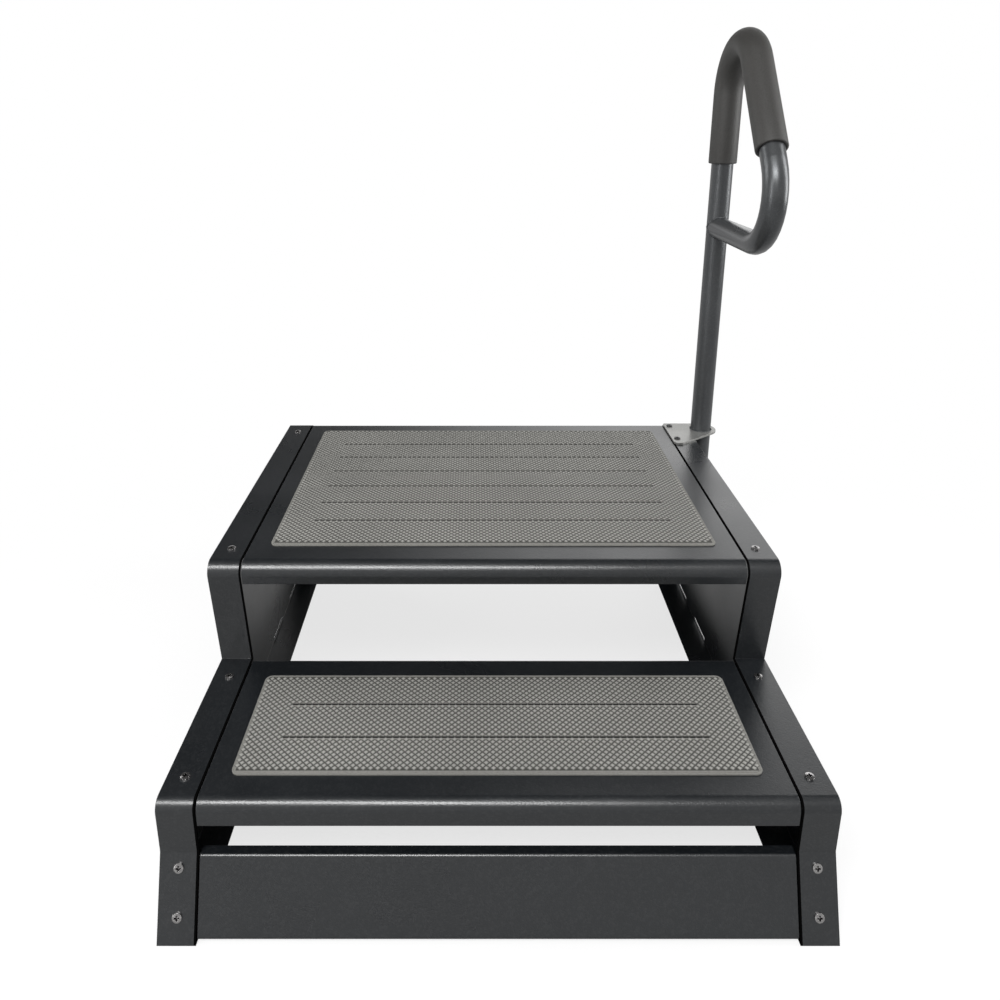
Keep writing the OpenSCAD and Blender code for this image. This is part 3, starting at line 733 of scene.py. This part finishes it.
def with_round_ends(points):
    first = (points[1] - points[0]).normalized()
    last = (points[-2] - points[-1]).normalized()
    ease = [END_ROUND * (1 - math.cos(turn)) + 2 * NUDGE * i for i, turn in enumerate(END_TURNS)]
    line = [points[0]] + [points[0] + (NUDGE + s) * first for s in ease] + points[1:-1]
    line += [points[-1] + (NUDGE + s) * last for s in reversed(ease)] + [points[-1]]
    end_radii = [GRIP_BORE_R] + [GRIP_R - END_ROUND * (1 - math.sin(turn)) for turn in END_TURNS]
    radii = end_radii + [GRIP_R] * (len(points) - 2) + end_radii[::-1]
    return line, radii


def path_object(name, points, radii=None, closed=False):
    mesh = bpy.data.meshes.new(name)
    edges = [(i, i + 1) for i in range(len(points) - 1)]
    if closed:
        edges.append((len(points) - 1, 0))
    mesh.from_pydata(points, edges, [])
    if radii:
        stored = mesh.attributes.new("sleeve_radius", "FLOAT", "POINT")
        stored.data.foreach_set("value", radii)
    made = bpy.data.objects.new(name, mesh)
    scene.collection.objects.link(made)
    return made


# %% The sleeve tree
END_MERGE = 0.000003


def sleeve():
    inputs = [("Sides", "NodeSocketInt", 48), ("Bore Radius", FLOAT, 0.016)]
    tree, given = new_geometry_tree("sleeve", inputs)
    line = add(tree, "GeometryNodeMeshToCurve", {0: given["Geometry"]})
    stored = add(tree, "GeometryNodeInputNamedAttribute", {"Name": "sleeve_radius"}, data_type="FLOAT")
    ring = add(tree, "GeometryNodeCurvePrimitiveCircle", {"Resolution": given["Sides"], "Radius": 1.0})
    walls = []
    for radius in (stored.outputs["Attribute"], given["Bore Radius"]):
        wall = add(tree, "GeometryNodeCurveToMesh", {
            "Curve": line.outputs[0], "Profile Curve": ring.outputs[0], "Scale": radius,
        })
        walls.append(wall.outputs[0])
    outer, inner = walls
    turned = add(tree, "GeometryNodeFlipFaces", {0: inner})
    both = join(tree, [outer, turned.outputs[0]])
    closed = add(tree, "GeometryNodeMergeByDistance", {"Geometry": both, "Distance": END_MERGE})
    return close_geometry_tree(tree, given, closed.outputs[0])


# %% Wrap the sleeve
line, radii = with_round_ends(path)
work = path_object("sleeve_line", [in_loop(p.x, p.y) for p in line], radii)
run_tree(work, sleeve(), {"Bore Radius": GRIP_BORE_R, "Material": foam})
grip = plain_mesh(work, "grip_sleeve")
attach(grip, "root")
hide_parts("foam_grip")
print("sleeve faces:", len(grip.data.polygons))

# %% [markdown]
# ## Weld beads
#
# The loop's lower return is welded to the post, and the post to its bracket. A bead is a
# row of small overlapping puddles, so one tree lays flattened balls along any line. The
# lines are a saddle where the return meets the round post, and a ring on the bracket.

# %% The bead tree
PUDDLE_SHAPE = (1.0, 1.0, 0.7)


def bead_row():
    inputs = [("Spacing", FLOAT, 0.0016), ("Bead Radius", FLOAT, 0.0018)]
    tree, given = new_geometry_tree("bead_row", inputs)
    line = add(tree, "GeometryNodeMeshToCurve", {0: given["Geometry"]})
    points = add(tree, "GeometryNodeCurveToPoints", {
        "Curve": line.outputs[0], "Length": given["Spacing"],
    }, mode="LENGTH")
    ball = add(tree, "GeometryNodeMeshUVSphere", {
        "Segments": 10, "Rings": 6, "Radius": given["Bead Radius"],
    })
    spread = add(tree, "GeometryNodeInstanceOnPoints", {
        "Points": points.outputs["Points"], "Instance": ball.outputs["Mesh"],
        "Rotation": points.outputs["Rotation"], "Scale": PUDDLE_SHAPE,
    })
    return close_geometry_tree(tree, given, spread.outputs[0])


bead_tree = bead_row()

# %% Lay the beads
BEAD_R = 0.0014
LINE_POINTS = 72
SADDLE_AHEAD = 0.0002
RING_R = 0.0163

turns = [2 * math.pi * i / LINE_POINTS for i in range(LINE_POINTS)]
saddle = [Vector((
    post_x + TUBE_R * math.cos(t),
    post_y - TUBE_R * abs(math.sin(t)) - SADDLE_AHEAD,
    LOOP_LOW + TUBE_R * math.sin(t),
)) for t in turns]
bracket_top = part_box("post_bracket")[1].z
ring = [Vector((post_x + RING_R * math.cos(t), post_y + RING_R * math.sin(t), bracket_top)) for t in turns]
for name, line in (("return_weld", saddle), ("bracket_weld", ring)):
    work = path_object(name + "_line", line, closed=True)
    run_tree(work, bead_tree, {"Bead Radius": BEAD_R, "Material": tube_coat})
    bead = plain_mesh(work, name)
    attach(bead, "root")
    print(name, "faces:", len(bead.data.polygons))

# %% [markdown]
# ## The floor
#
# The step stands on a plain pale floor. Close to the step the floor takes a light shadow,
# and further out it turns into the same white as the background, so no horizon shows.
# What the coat mirrors of the floor is darker, and it glows towards the rear, which
# brightens the inner faces of the side panels.

# %% Lay the floor
SEEN_TONE = (0.93, 0.93, 0.93, 1)
MIRRORED_TONE = (0.35, 0.35, 0.35, 1)
FLOOR_ROUGHNESS = 0.85
WHITE = (1, 1, 1, 1)
WHITE_REACH = (0.55, 1.1)
WHITE_SHARE = (0.74, 1.0)
REAR_REACH = (0.0, 0.3)
REAR_SHARE = (0.0, 0.4)
FLOOR_HALF = 8
FLOOR_DROP = 0.0003


def floor_material():
    made = bpy.data.materials.new("studio_floor")
    made.use_nodes = True
    tree = made.node_tree
    shader = tree.nodes["Principled BSDF"]
    shader.inputs["Roughness"].default_value = FLOOR_ROUGHNESS
    seen = add(tree, "ShaderNodeLightPath").outputs["Is Camera Ray"]
    tree.links.new(mix_colours(tree, seen, MIRRORED_TONE, SEEN_TONE), shader.inputs["Base Color"])
    where = add(tree, "ShaderNodeTexCoord").outputs["Object"]
    away = add(tree, "ShaderNodeVectorMath", {0: where}, operation="LENGTH").outputs["Value"]
    far = ramp(tree, away, WHITE_REACH, WHITE_SHARE)
    lit = ramp(tree, split(tree, where)[1], REAR_REACH, REAR_SHARE)
    white = add(tree, "ShaderNodeEmission", {"Color": WHITE, "Strength": 1.0})
    lay_over(tree, mix_numbers(tree, seen, lit, far), white)
    return made


corners = [(FLOOR_HALF * x, FLOOR_HALF * y, 0) for x, y in ((-1, -1), (1, -1), (1, 1), (-1, 1))]
mesh = bpy.data.meshes.new("floor")
mesh.from_pydata(corners, [], [(0, 1, 2, 3)])
mesh.materials.append(floor_material())
floor = bpy.data.objects.new("floor", mesh)
floor.location = (0, 0, low.z - FLOOR_DROP)
scene.collection.objects.link(floor)
print("the floor is", 2 * FLOOR_HALF, "m wide")

# %% [markdown]
# ## The background
#
# The world is white only where the camera looks straight at it. For the coat to mirror,
# it is half bright in front and dim behind, bright along the horizon, and it glows softly
# at the right behind the step.

# %% Paint the background
ROOM_DEPTH = (-0.6, 0.6)
ROOM_LIGHT = (0.50, 0.07)
GLOW_TOWARDS = (0.33, 0.87, 0.37)
GLOW_SPREAD = (0.88, 1.0)
GLOW_LIGHT = (0.0, 1.7)
HORIZON_HEIGHT = (0.06, 0.28)
HORIZON_LIGHT = (0.8, 0.0)

world = bpy.data.worlds.new("studio")
scene.world = world
world.use_nodes = True
sky = world.node_tree
sky.nodes.clear()
view_dir = add(sky, "ShaderNodeTexCoord").outputs["Generated"]
view_place = split(sky, view_dir)
room = ramp(sky, view_place[1], ROOM_DEPTH, ROOM_LIGHT)
towards = add(sky, "ShaderNodeVectorMath", {0: view_dir, 1: GLOW_TOWARDS}, operation="DOT_PRODUCT")
glow = ramp(sky, towards.outputs["Value"], GLOW_SPREAD, GLOW_LIGHT)
horizon = ramp(sky, view_place[2], HORIZON_HEIGHT, HORIZON_LIGHT)
mirrored = calc(sky, "MAXIMUM", calc(sky, "ADD", room, glow), horizon)
seen = add(sky, "ShaderNodeLightPath").outputs["Is Camera Ray"]
level = mix_numbers(sky, seen, mirrored, 1.0)
backdrop = add(sky, "ShaderNodeBackground", {"Color": WHITE, "Strength": level})
add(sky, "ShaderNodeOutputWorld", {"Surface": backdrop.outputs[0]})
print("background", world.name, "has", len(sky.nodes), "nodes")

# %% [markdown]
# ## The lights
#
# A dark satin coat shows little of its own colour: its shape is read from what it
# mirrors. A wide light high in front gives the bright band along each front bend,
# stronger on the left. A tall narrow light at the left draws the line of light down the
# post and the loop, another at the right edges the grip, and a fill at the left gives
# the back some shape.

# %% Hang the lights
def soft_light(name, place, target, width, depth, power):
    made = bpy.data.objects.new(name, bpy.data.lights.new(name, "AREA"))
    scene.collection.objects.link(made)
    made.data.shape = "RECTANGLE"
    made.data.size, made.data.size_y = width, depth
    made.data.energy = power
    made.location = place
    made.rotation_euler = (Vector(target) - Vector(place)).to_track_quat("-Z", "Y").to_euler()
    print("light", name, power, "W")


soft_light("key", (-0.5, -1.75, 2.35), target=(0, -0.1, 0.2), width=1.7, depth=0.75, power=62)
soft_light("left_strip", (-1.7, -1.5, 0.95), target=(0.1, 0.1, 0.5), width=0.35, depth=1.7, power=14)
soft_light("right_strip", (1.7, 0.1, 1.1), target=(0.3, 0.25, 0.75), width=0.6, depth=1.4, power=20)
soft_light("left_fill", (-2.6, 1.0, 1.7), target=(0, 0.1, 0.25), width=1.2, depth=1.2, power=22)

# %% [markdown]
# ## The colour view
#
# The Standard view shows the colours as they are mixed. The dressed step has to stay
# inside the box of the imported part.

# %% Set the colour view
scene.view_settings.view_transform = "Standard"
